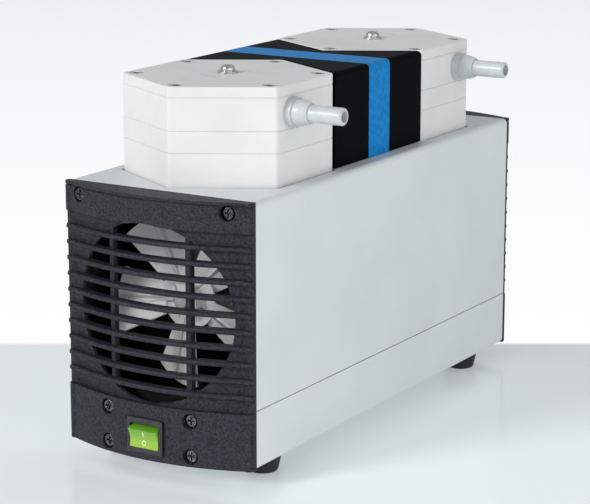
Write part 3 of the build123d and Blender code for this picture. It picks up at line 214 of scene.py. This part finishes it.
def paint_shade_inside(material, half_width, floor, ceiling):
    """Paints shade near black on what lies closer to the middle than half_width, between floor and ceiling.
    """
    tree = material.node_tree
    place = find_node(material, "TEX_COORD").outputs["Object"]
    axes = add_node(tree, "ShaderNodeSeparateXYZ", {"Vector": place}).outputs
    across = add_node(tree, "ShaderNodeMath", {"operation": "ABSOLUTE", 0: axes["X"]}).outputs["Value"]
    limits = (
        ("LESS_THAN", across, half_width),
        ("LESS_THAN", axes["Z"], ceiling),
        ("GREATER_THAN", axes["Z"], floor),
    )
    within = 1.0
    for comparison, value, limit in limits:
        test = add_node(tree, "ShaderNodeMath", {"operation": comparison, 0: value, 1: limit})
        both = {"operation": "MULTIPLY", 0: within, 1: test.outputs["Value"]}
        within = add_node(tree, "ShaderNodeMath", both).outputs["Value"]
    # Painted shade: inside the skin, the paint colour gives way to near black.
    paint = find_node(material, "MIX").outputs[mix_result]
    colours = {"data_type": "RGBA", 0: within, mix_first: paint, mix_second: linear(painted_shade_black)}
    shaded = add_node(tree, "ShaderNodeMix", colours).outputs[mix_result]
    tree.links.new(shaded, find_node(material, "BSDF_PRINCIPLED").inputs["Base Color"])


tray_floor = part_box("base_tray")[0].z
hood_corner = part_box("housing_cover")[1]
paint_shade_inside(powder_coated_steel, hood_corner.x - skin, tray_floor + skin, hood_corner.z - skin)
print("lined within", [round(value - skin, 4) for value in (hood_corner.x, hood_corner.z)])

# %% [markdown]
# ## Black covers
# The end covers are moulded from ABS in a spark-eroded tool. The eroded steel leaves a fine even
# grain of about a millimetre, which breaks the gloss and makes black plastic look dark grey where
# light strikes it. Small bumps for the light are enough, as the grain is too shallow to need a finer
# mesh. The bridge between the heads comes from a smoother tool.

# %% Spark-grained ABS and satin ABS
grained_abs = finish(
    "moulded_abs_spark_grained", "#1F2024", "#37383F", patch=1.2, grain=0.9, relief=0.14,
    roughness=0.5, edge=0.35, IOR=1.5, **{"Specular IOR Level": 0.15},
)
satin_abs = finish(
    "moulded_abs_satin", "#050508", "#09090D", patch=4, grain=0.7, relief=0.03, roughness=0.5,
    edge=0.4, IOR=1.3, **{"Specular IOR Level": 0.04},
)
black_polyamide = finish(
    "moulded_polyamide_black", "#141416", "#1B1B1E", patch=12, grain=0.5, relief=0.02,
    roughness=0.38, edge=0.3, IOR=1.53,
)
dress(grained_abs, "front_cover", "rear_cover")
dress(satin_abs, "bridge_cover")
dress(black_polyamide, "switch_body", "mains_inlet")

# %% [markdown]
# ## Pump heads and nozzles
# The heads touch aggressive vapour, so they are milled from white fluoropolymer, and the nozzles and
# their nuts are turned from a harder grade. Plain white would look like chalk. Light sinks a little
# way into such plastics, which is what the subsurface weight gives; the milled faces are silky, the
# turned nozzles glossier.

# %% Milled and turned fluoropolymer
milled_ptfe = finish(
    "milled_ptfe", "#DADBD9", "#E1E1DF", patch=35, grain=0.8, relief=0.01, roughness=0.4, edge=0.5,
    IOR=1.38, **{"Subsurface Weight": 0.12, "Subsurface Scale": 1.5 * MM},
)
turned_pvdf = finish(
    "turned_pvdf", "#BEC3C4", "#C8CCCC", patch=8, grain=0.5, relief=0.008, roughness=0.28, edge=0.4,
    IOR=1.42, **{"Subsurface Weight": 0.2, "Subsurface Scale": 2.0 * MM},
)
for end in ends:
    layers = [f"{end}_{layer}" for layer in ("clamp_ring", "head_plate", "port_plate", "head_lid")]
    dress(milled_ptfe, *layers)
    dress(turned_pvdf, f"{end}_hose_nut", f"{end}_hose_nozzle")
dress(turned_pvdf, "transfer_tube")

# %% [markdown]
# ## Blue band
# The band over the bridge is an inlaid strip of through-coloured plastic, satin, with no print. It
# could be coloured by place on the bridge, but it comes as a piece of its own, so a material of its
# own keeps its edges sharp.

# %% Moulded blue strip
blue_polycarbonate = finish(
    "moulded_polycarbonate_blue", "#0074B8", "#0A84CC", patch=3, grain=0.8, relief=0.03,
    roughness=0.45, edge=0.3, IOR=1.3, **{"Specular IOR Level": 0.2},
)
dress(blue_polycarbonate, "bridge_stripe")

# %% [markdown]
# ## Screws, bearings and shaft
# Zinc plating is a thin bright metal with a slightly cloudy sheen. The screws of the black covers
# are black zinc, so only their rims and cross slots catch the light. Ground steel is clean and
# even. Scratches could be drawn, but new fasteners this small show none. A metal keeps its default
# index of refraction, because its colour comes from reflection.

# %% Plated and ground steel
zinc_plated_steel = finish(
    "zinc_plated_steel", "#B9BAB8", "#CFCFCC", patch=3, grain=0.4, relief=0.01, roughness=0.3,
    edge=0.15, Metallic=1.0,
)
ground_steel = finish(
    "ground_steel", "#A5A6A8", "#BEBFC1", patch=6, grain=0.3, relief=0.005, roughness=0.25,
    edge=0.2, Metallic=1.0,
)
black_zinc_steel = finish(
    "black_zinc_plated_steel", "#3C3C40", "#5E5E62", patch=2, grain=0.4, relief=0.02,
    roughness=0.26, edge=0.15, Metallic=1.0,
)
dress(zinc_plated_steel, "head_screws", "foot_screws", "crankcase_screws", "tie_rods", "inlet_pins")
dress(zinc_plated_steel, "centre_screws", "centre_washers")
dress(black_zinc_steel, "cover_screws")
dress(ground_steel, "motor_shaft")
for end in ends:
    dress(ground_steel, f"{end}_motor_bearing", f"{end}_rod_bearing", f"{end}_eccentric")

# %% [markdown]
# ## Castings
# The motor tube and the rods are cast aluminium, whose skin is dull, grey and gently pitted. The can
# of the capacitor shares their finish. A casting's pits could be modelled, but it is seen only
# between slats, where bumps do. The crankcases, whose own colour is not seen, are coloured near
# black as a painted shade, so what stands behind the fans stays dark.

# %% Bare aluminium, and castings near black as painted shade
cast_aluminium = finish(
    "cast_aluminium", "#8F9190", "#A6A8A7", patch=15, grain=1.2, relief=0.06, roughness=0.5,
    edge=0.6, Metallic=1.0,
)
# Painted shade: near black for the dark inside behind the fans.
shade_black_casting = finish(
    "casting_black_painted_shade", "#0D0D0F", "#151517", patch=15, grain=1.2, relief=0.06, roughness=0.6,
    edge=0.6, IOR=1.4,
)
dress(cast_aluminium, "motor_housing", "run_capacitor")
for end in ends:
    dress(cast_aluminium, f"{end}_connecting_rod", f"{end}_clamp_disc")
    dress(shade_black_casting, f"{end}_crankcase")

# %% [markdown]
# ## Rubber, diaphragms and small plastics
# The feet and the mains lead are matt rubber and nearly black. The diaphragms and valves are rubber
# faced with a pale fluoropolymer, and the terminal block is unfilled polyamide. They differ in
# colour and in how matt they are, so the shared build fits them all.

# %% Rubber and small mouldings
moulded_rubber = finish(
    "moulded_rubber", "#101010", "#171717", patch=10, grain=0.6, relief=0.03, roughness=0.65,
    edge=0.5, IOR=1.52,
)
faced_rubber = finish(
    "ptfe_faced_rubber", "#CFCDC4", "#DAD8D0", patch=12, grain=0.6, relief=0.01, roughness=0.45,
    IOR=1.4,
)
pale_polyamide = finish(
    "moulded_polyamide_pale", "#C4C1B4", "#CFCCC0", patch=10, grain=0.5, relief=0.02, roughness=0.45,
    IOR=1.53,
)
feet = [f"foot_{end}_{hand}" for end in ends for hand in ("left", "right")]
dress(moulded_rubber, *feet, "mains_lead")
dress(faced_rubber, "front_diaphragm", "rear_diaphragm", "front_valves", "rear_valves")
dress(pale_polyamide, "terminal_block")

# %% [markdown]
# ## Motor core and coils
# The core is a stack of punched sheets half a millimetre thick. At that pitch the lines would
# vanish, so they are drawn one millimetre apart. The coils are enamelled copper wire, whose turns
# lie one above another as ridges, drawn a little coarser than the wire. Hundreds of sheets and turns
# could be modelled, but a wave with the right pitch gives the same look for one node.

# %% Striped finishes of the motor
wave_radians = 20.0  # one unit of the wave texture holds this many radians


def add_relief(material, height, depth):
    """Lays a relief, depth metres deep, over the fine grain of a finish."""
    tree = material.node_tree
    grain = find_node(material, "BUMP").outputs["Normal"]
    coarse = {"Distance": depth, "Strength": 1.0, "Height": height, "Normal": grain}
    raised = add_node(tree, "ShaderNodeBump", coarse)
    tree.links.new(raised.outputs["Normal"], find_node(material, "BSDF_PRINCIPLED").inputs["Normal"])
    print(f"{material.name}: a relief {depth / MM:.2f} mm deep")


def add_stripes(material, axis, pitch, depth):
    """Adds ridges across the given axis to a finish, pitch and depth in millimetres."""
    place = find_node(material, "TEX_COORD").outputs["Object"]
    wave_scale = 2 * math.pi / wave_radians * per_metre(pitch)
    bands = {"bands_direction": axis, "Scale": wave_scale, "Distortion": 0.0, "Vector": place}
    ridges = add_node(material.node_tree, "ShaderNodeTexWave", bands)
    add_relief(material, ridges.outputs["Fac"], depth * MM)


electrical_steel = finish(
    "punched_electrical_steel", "#4C4E52", "#5C5E62", patch=12, grain=0.8, relief=0.02,
    roughness=0.45, Metallic=1.0,
)
add_stripes(electrical_steel, "Y", pitch=1.0, depth=0.15)
enamelled_copper = finish(
    "enamelled_copper_wire", "#8A4A20", "#A05A2A", patch=6, grain=0.8, relief=0.03, roughness=0.3,
    Metallic=1.0,
)
add_stripes(enamelled_copper, "Z", pitch=1.2, depth=0.3)
dress(electrical_steel, "stator_core", "rotor_core")
dress(enamelled_copper, "stator_windings")

# %% [markdown]
# ## Fans
# Each fan is pressed from sheet and lacquered white, with a faint drift in its tone. A bare metal
# would mirror the dark inside, so the pale lacquer is what shows the blades between the slats.

# %% Lacquered sheet
lacquered_sheet = finish(
    "lacquered_sheet_steel", "#F0F1F1", "#FBFBFB", patch=18, grain=0.9, relief=0.02, roughness=0.4,
    edge=0.4, IOR=1.5,
)
dress(lacquered_sheet, "front_fan", "rear_fan")

# %% [markdown]
# A bead is pressed along the middle of every blade to stiffen it. It could be cut into the mesh, but
# the mesh stays as it came, so the bead is a relief. It follows the angle round the shaft: the angle
# is cut into one slice for each blade, from the middle of one blade to the middle of the next, and
# the lines where slices meet are raised.

# %% Press a bead along each blade
blade_count = 5
blade_angle = math.radians(45.0)  # one blade's direction, seen from outside
bead_share = 0.06  # half the bead's width as a share of a slice
bead_depth = 1.5 * MM
spin_joint = next(joint for joint in frame["joints"] if joint["name"] == "rotor_spin")
shaft_height = spin_joint["pos_m"][2]


def press_beads(material):
    """Raises the lines where the slices of the angle round the shaft meet."""
    tree = material.node_tree
    place = find_node(material, "TEX_COORD").outputs["Object"]
    axes = add_node(tree, "ShaderNodeSeparateXYZ", {"Vector": place}).outputs
    end_sign = add_node(tree, "ShaderNodeMath", {"operation": "SIGN", 0: axes["Y"]}).outputs["Value"]
    mirrored = {"operation": "MULTIPLY", 0: axes["X"], 1: end_sign}
    seen_outside = add_node(tree, "ShaderNodeMath", mirrored).outputs["Value"]
    turned_round = {"operation": "MULTIPLY", 0: seen_outside, 1: -1.0}
    across = add_node(tree, "ShaderNodeMath", turned_round).outputs["Value"]
    above_shaft = {"operation": "SUBTRACT", 0: axes["Z"], 1: shaft_height}
    rise = add_node(tree, "ShaderNodeMath", above_shaft).outputs["Value"]
    round_shaft = {"operation": "ARCTAN2", 0: rise, 1: across}
    angle = add_node(tree, "ShaderNodeMath", round_shaft).outputs["Value"]
    whole_turn = {"From Min": blade_angle, "From Max": blade_angle + 2 * math.pi, "clamp": False}
    slicing = {"Value": angle, "To Max": float(blade_count), **whole_turn}
    slices = add_node(tree, "ShaderNodeMapRange", slicing).outputs["Result"]
    to_nearest = {"operation": "PINGPONG", 0: slices, 1: 0.5}
    from_line = add_node(tree, "ShaderNodeMath", to_nearest).outputs["Value"]
    rounded = {"From Max": bead_share, "To Min": 1.0, "To Max": 0.0, "interpolation_type": "SMOOTHSTEP"}
    bead = add_node(tree, "ShaderNodeMapRange", {"Value": from_line, **rounded}).outputs["Result"]
    add_relief(material, bead, bead_depth)


press_beads(lacquered_sheet)
print("beads on", blade_count, "blades, round a shaft at", round(shaft_height, 4))

# %% [markdown]
# ## Lit rocker
# The rocker is translucent green polycarbonate with a lamp behind its lower half, so it runs from a
# deep green at the top to a lighter green where the lamp shines through. The change of colour
# follows the height of a point in the rocker, and a little of it is given off as light. A real lamp
# behind a clear rocker would do the same, but slowly and with more noise.

# %% Translucent polycarbonate with a lamp behind it
lamp_glow = 0.12


def light_from_below(material, low, high):
    """Runs a finish from its dark colour at high to its light one at low, and lets it glow."""
    tree = material.node_tree
    shader = find_node(material, "BSDF_PRINCIPLED")
    colour = find_node(material, "MIX")
    place = find_node(material, "TEX_COORD").outputs["Object"]
    height = add_node(tree, "ShaderNodeSeparateXYZ", {"Vector": place}).outputs["Z"]
    downwards = {"From Min": high, "From Max": low, "interpolation_type": "SMOOTHSTEP"}
    glow = add_node(tree, "ShaderNodeMapRange", {"Value": height, **downwards}).outputs["Result"]
    tree.links.new(glow, colour.inputs[0])
    tree.links.new(colour.outputs[mix_result], shader.inputs["Emission Color"])
    shader.inputs["Emission Strength"].default_value = lamp_glow


rocker_low, rocker_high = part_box("switch_rocker")
lit_green = finish(
    "moulded_polycarbonate_green", "#5E9A22", "#8AAE30", patch=6, grain=0.5, relief=0.01,
    roughness=0.22, edge=0.3, IOR=1.58, **{"Coat Weight": 0.3},
)
light_from_below(lit_green, rocker_low.z, rocker_high.z)
dress(lit_green, "switch_rocker")

# %% [markdown]
# ## Marks on the rocker
# A stroke for on and a ring for off are printed on the rocker's hollow face. They could be drawn in
# its material, but ink of its own has sharper edges. Each mark is a thin raised film: a narrow,
# almost closed oval for the stroke and a wide one for the ring. Both are laid on the same hollow arc
# as the face and tilted with it, so they neither float nor sink in.

# %% Points on the hollow face
rocker_joint = next(joint for joint in frame["record"]["behaviour"]["joints"] if joint["child"] == "rocker")
pivot = Vector(rocker_joint["pos_m"])
rocker_tilt = math.radians(10.0)  # at rest
face_reach = 8.0 * MM  # from the pin to the rims of the face
face_half = 5.5 * MM
face_hollow = 1.3 * MM
to_rocker = Matrix.Translation(pivot) @ Matrix.Rotation(rocker_tilt, 4, "X")


def on_face(x, z, lift):
    """A point of the hollow face at x across and z up from its middle, lifted off by lift."""
    depth = face_hollow * (1 - (z / face_half) ** 2)
    return to_rocker @ Vector((x, -face_reach + depth - lift, z))


def oval_band(centre_z, half_width, half_height, stroke, steps):
    """Inner and outer points round an oval band on the face."""
    pairs = []
    for step in range(steps):
        turn = 2 * math.pi * step / steps
        across, up = math.cos(turn), math.sin(turn)
        inner = ((half_width - stroke) * across, centre_z + (half_height - stroke) * up)
        outer = (half_width * across, centre_z + half_height * up)
        pairs.append((inner, outer))
    return pairs


print("rocker turns about", [round(value, 4) for value in pivot])

# %% [markdown]
# The film is built ring by ring: each pair of points gives four corners, two above the face and two
# below it, and neighbouring rings are joined by four faces. Cutting and thickening a curve would
# take more steps for the same strip.

# %% Lay the stroke and the ring on the face
film_half = 0.08 * MM  # half of the film's thickness


def film_mesh(name, pairs, place_on, material, body, closed=True):
    """A thin film between pairs of points, laid by place_on and carried by a body."""
    mesh = bpy.data.meshes.new(name)
    built = bmesh.new()
    rings = []
    for inner, outer in pairs:
        corners = [(inner, film_half), (outer, film_half), (outer, -film_half), (inner, -film_half)]
        rings.append([built.verts.new(place_on(a, b, lift)) for (a, b), lift in corners])
    followers = rings[1:] + rings[:1] if closed else rings[1:]
    for first, second in zip(rings, followers):
        for side in range(4):
            after = (side + 1) % 4
            built.faces.new((first[side], first[after], second[after], second[side]))
    if not closed:
        built.faces.new(rings[0])
        built.faces.new(rings[-1])
    bmesh.ops.recalc_face_normals(built, faces=built.faces)
    built.to_mesh(mesh)
    built.free()
    piece = bpy.data.objects.new(name, mesh)
    bpy.context.collection.objects.link(piece)
    mesh.materials.append(material)
    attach(piece, body)
    print(name, "faces:", len(mesh.polygons))


mark_ink = finish(
    "pad_printed_ink", "#E2ECC8", "#EEF4DC", patch=2, grain=0.4, relief=0.005, roughness=0.5, IOR=1.5
)
stroke_band = oval_band(
    centre_z=2.6 * MM, half_width=0.45 * MM, half_height=1.6 * MM, stroke=0.4 * MM, steps=16
)
ring_band = oval_band(
    centre_z=-2.7 * MM, half_width=1.3 * MM, half_height=1.5 * MM, stroke=0.45 * MM, steps=32
)
film_mesh("mark_on", stroke_band, on_face, mark_ink, "rocker")
film_mesh("mark_off", ring_band, on_face, mark_ink, "rocker")

# %% [markdown]
# ## Scribed lines on the lids
# A short fine line is scribed on each lid, beside the centre screw. It is too fine for the
# construction, so it is laid here as a film as thin as paper, a third of a millimetre wide. Its grey
# is a painted shadow of the groove.

# %% Lay the scribed lines
line_half_width = 0.18 * MM
lid_lines = {
    "front": (Vector((-10.6, -96.4)) * MM, Vector((6.8, -103.4)) * MM),
    "rear": (Vector((-10.7, 113.8)) * MM, Vector((5.7, 106.6)) * MM),
}
# Grey film: a painted shadow of the scribed groove.
groove_painted_shadow = finish(
    "scribed_groove_shadow", "#9A9C9C", "#AFB1B1", patch=3, grain=0.4, relief=0.01, roughness=0.6,
    IOR=1.4,
)


def line_band(start, stop, half_width):
    """Inner and outer points along the two long sides of a straight line."""
    across = (stop - start).orthogonal().normalized() * half_width
    return [(start - across, start + across), (stop - across, stop + across)]


def level_face(height):
    """The rule that places a point on a level face at this height."""

    def on_level(x, y, lift):
        return Vector((x, y, height + lift))

    return on_level


for end, (start, stop) in lid_lines.items():
    on_lid = level_face(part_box(f"{end}_head_lid")[1].z)
    scribed = line_band(start, stop, line_half_width)
    film_mesh(f"scribed_line_{end}", scribed, on_lid, groove_painted_shadow, "housing", closed=False)

# %% [markdown]
# ## Studio table
# The pump stands on a pale glossy table in front of white. The table ends in a straight line across
# the view, a little behind the pump: past it the same plane shows plain white, which fades to a
# palest grey. A real edge with a wall behind it could do this, but one line in the table's own
# material needs no second piece. Only the camera sees the white; all else meets the table.

# %% Table that ends behind the pump
table_size = 12.0
table_end = 0.134  # behind the pump's middle, along the view
end_blur = 0.004  # to each side of that line
fade_end = 2.2  # where the white has faded to its palest grey
table_colour = linear("#DCE1E1")
table_glow = 0.3


def table_material():
    """A glossy table as far as its end, and plain white past it."""
    material = bpy.data.materials.new("studio_table_gloss")
    tree = empty_tree(material)
    place = add_node(tree, "ShaderNodeTexCoord").outputs["Object"]
    turned = {"Rotation": (0.0, 0.0, -camera_bearing), "Vector": place}
    along_view = add_node(tree, "ShaderNodeMapping", turned).outputs["Vector"]
    distance = add_node(tree, "ShaderNodeSeparateXYZ", {"Vector": along_view}).outputs["Y"]
    gloss = {"Base Color": table_colour, "Roughness": 0.16, "IOR": 1.45}
    glow = {"Emission Color": table_colour, "Emission Strength": table_glow}
    top = add_node(tree, "ShaderNodeBsdfPrincipled", {**gloss, **glow}).outputs["BSDF"]
    fade_range = {"Value": distance, "From Min": table_end, "From Max": fade_end}
    fade = add_node(tree, "ShaderNodeMapRange", fade_range).outputs["Result"]
    whites = {"data_type": "RGBA", 0: fade, mix_first: linear("#FFFFFF"), mix_second: linear("#ECEEF1")}
    fading = add_node(tree, "ShaderNodeMix", whites).outputs[mix_result]
    white = add_node(tree, "ShaderNodeEmission", {"Strength": 1.0, "Color": fading}).outputs["Emission"]
    end_range = {"Value": distance, "From Min": table_end - end_blur, "From Max": table_end + end_blur}
    beyond = add_node(tree, "ShaderNodeMapRange", end_range).outputs["Result"]
    from_camera = add_node(tree, "ShaderNodeLightPath").outputs["Is Camera Ray"]
    both = {"operation": "MULTIPLY", 0: beyond, 1: from_camera}
    shown = add_node(tree, "ShaderNodeMath", both).outputs["Value"]
    seen = add_node(tree, "ShaderNodeMixShader", {0: shown, 1: top, 2: white}).outputs["Shader"]
    add_node(tree, "ShaderNodeOutputMaterial", {"Surface": seen})
    return material


bpy.ops.mesh.primitive_plane_add(size=table_size)
table = bpy.context.object
table.name = "studio_table"
table.data.materials.append(table_material())
print("table", table_size, "m wide, ends", table_end, "m behind the middle")

# %% [markdown]
# ## White surround
# The white behind is there for the camera, and for light that has passed through a clear piece. The
# surfaces reflect a darker room, which keeps the black mouldings black. One even white would be
# simpler, but every black piece would mirror it and turn grey.

# %% Bright to look at, darker to reflect
ambient_strength = 0.5
backdrop_strength = 1.0
world = bpy.data.worlds.new("studio_surround")
bpy.context.scene.world = world
tree = empty_tree(world)
path = add_node(tree, "ShaderNodeLightPath").outputs
either = {"operation": "MAXIMUM", 0: path["Is Camera Ray"], 1: path["Is Transmission Ray"]}
seen_directly = add_node(tree, "ShaderNodeMath", either).outputs["Value"]
ambient_settings = {"Color": linear("#F4F8FA"), "Strength": ambient_strength}
backdrop_settings = {"Color": linear("#FFFFFF"), "Strength": backdrop_strength}
ambient = add_node(tree, "ShaderNodeBackground", ambient_settings).outputs[0]
backdrop = add_node(tree, "ShaderNodeBackground", backdrop_settings).outputs[0]
surround = add_node(tree, "ShaderNodeMixShader", {0: seen_directly, 1: ambient, 2: backdrop})
add_node(tree, "ShaderNodeOutputWorld", {"Surface": surround.outputs["Shader"]})
print("surround: ambient", ambient_strength, "backdrop", backdrop_strength)

# %% [markdown]
# ## Lights
# Two wide suns act like large diffusers: the stronger one stands at the front left, and the weaker
# one at the nozzle side. Real diffusers could be modelled, but a sun needs only a direction and a
# width. A small panel near the nozzle side lights the front of the long side most, so that side
# falls off towards the rear.

# %% Two suns and a panel
suns = {
    "key_front_left": (1.92, 18.0, Vector((-0.40, -0.85, 0.44))),
    "fill_nozzle_side": (0.98, 60.0, Vector((1.0, -0.15, 0.1))),
}
panel_place = Vector((0.5, -0.55, 0.12))
panel_target = Vector((0.06, -0.13, 0.1))


def add_lamp(light, stands_towards, place=(0.0, 0.0, 0.0)):
    """Puts a light in the studio, on the side of the pump that stands_towards points to."""
    lamp = bpy.data.objects.new(light.name, light)
    lamp.location = place
    lamp.rotation_euler = stands_towards.to_track_quat("Z", "Y").to_euler()
    bpy.context.collection.objects.link(lamp)


for name, (strength, width_degrees, stands_towards) in suns.items():
    sun = bpy.data.lights.new(name, "SUN")
    sun.energy = strength
    sun.angle = math.radians(width_degrees)
    add_lamp(sun, stands_towards)
panel = bpy.data.lights.new("panel_nozzle_side", "AREA")
panel.shape = "SQUARE"
panel.size = 0.3
panel.energy = 0.85
add_lamp(panel, panel_place - panel_target, panel_place)
bpy.context.scene.view_settings.view_transform = "Standard"
